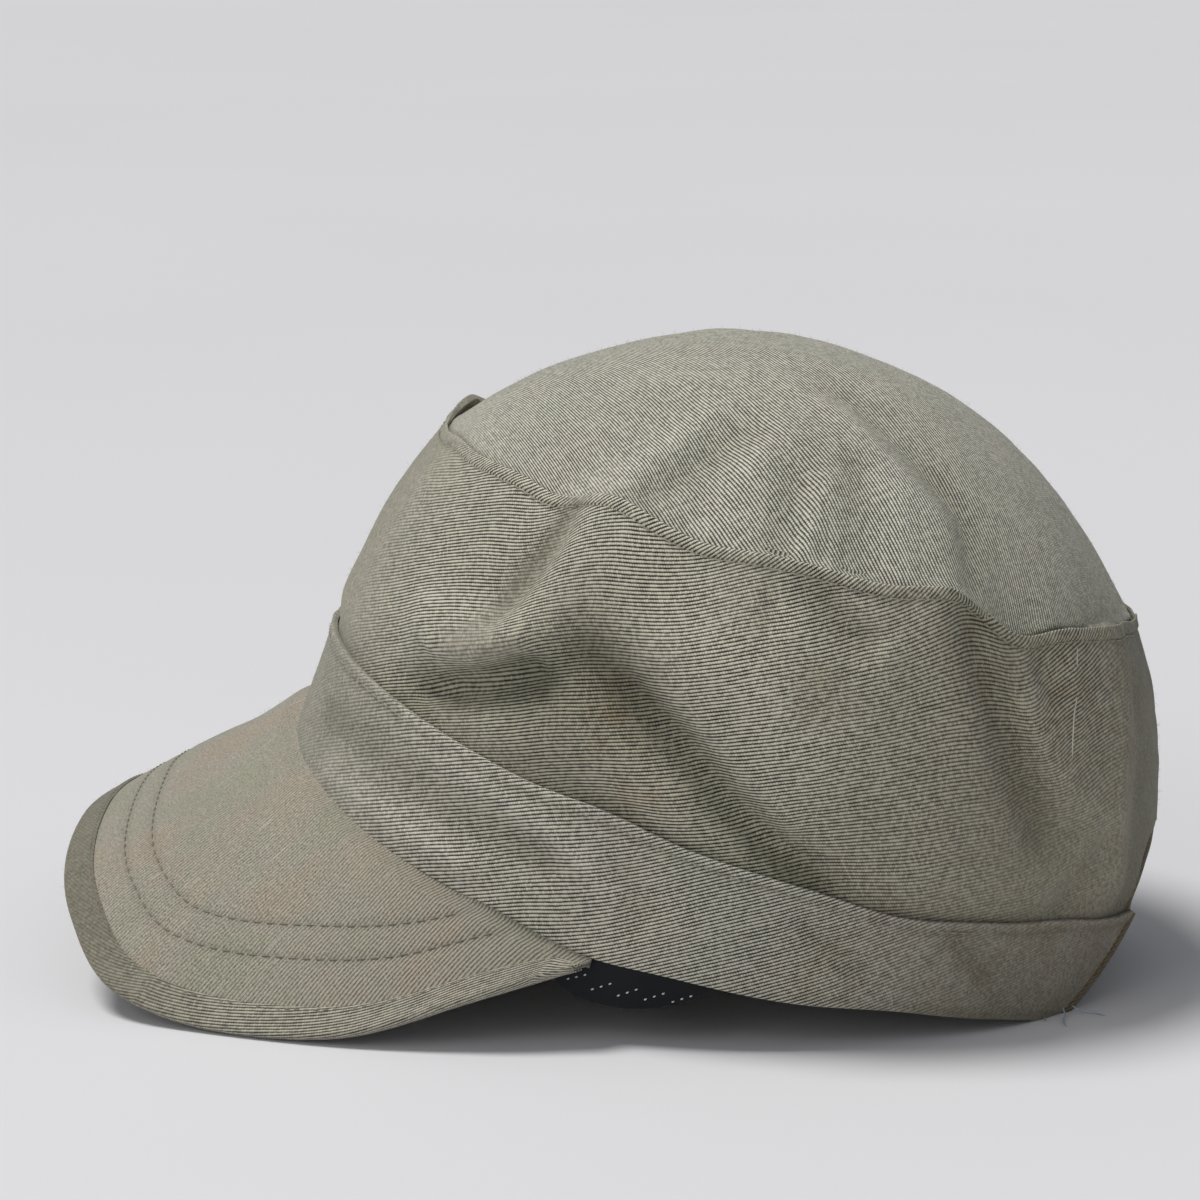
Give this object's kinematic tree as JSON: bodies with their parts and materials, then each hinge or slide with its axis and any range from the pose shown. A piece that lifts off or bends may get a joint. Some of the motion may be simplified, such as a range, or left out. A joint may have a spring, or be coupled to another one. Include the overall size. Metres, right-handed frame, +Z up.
{
  "type": "cadet cap",
  "caption": "Soft cloth cadet cap with a domed top, deep side wall, topstitched band, curved stiff peak and an arched opening at the back.",
  "frame": {"origin": "middle of the cap's bounding box, on the surface it rests on", "axes": "-Y out of the front of the peak, +Y towards the back opening, +X towards the wearer's left, +Z up"},
  "size_m": [0.1808, 0.2583, 0.1497],
  "materials": {
    "crown_cloth": "matte grey-olive cotton twill with a bold rib, creased and a little stained",
    "band_cloth": "matte grey-olive cotton twill",
    "peak_cloth": "matte heathered grey-olive twill over a stiff core, with stitched rows",
    "binding_cloth": "matte grey-olive cotton twill strip",
    "hem_cloth": "matte grey-olive cotton, narrow folded hem",
    "sweatband_leather": "smooth black leatherette with white zigzag stitches"
  },
  "bodies": {
    "root": {"crown_top": "crown_cloth", "crown_side": "crown_cloth", "band": "band_cloth", "peak": "peak_cloth", "peak_binding": "binding_cloth", "sweatband": "sweatband_leather", "back_hem": "hem_cloth"}
  },
  "joints": []
}
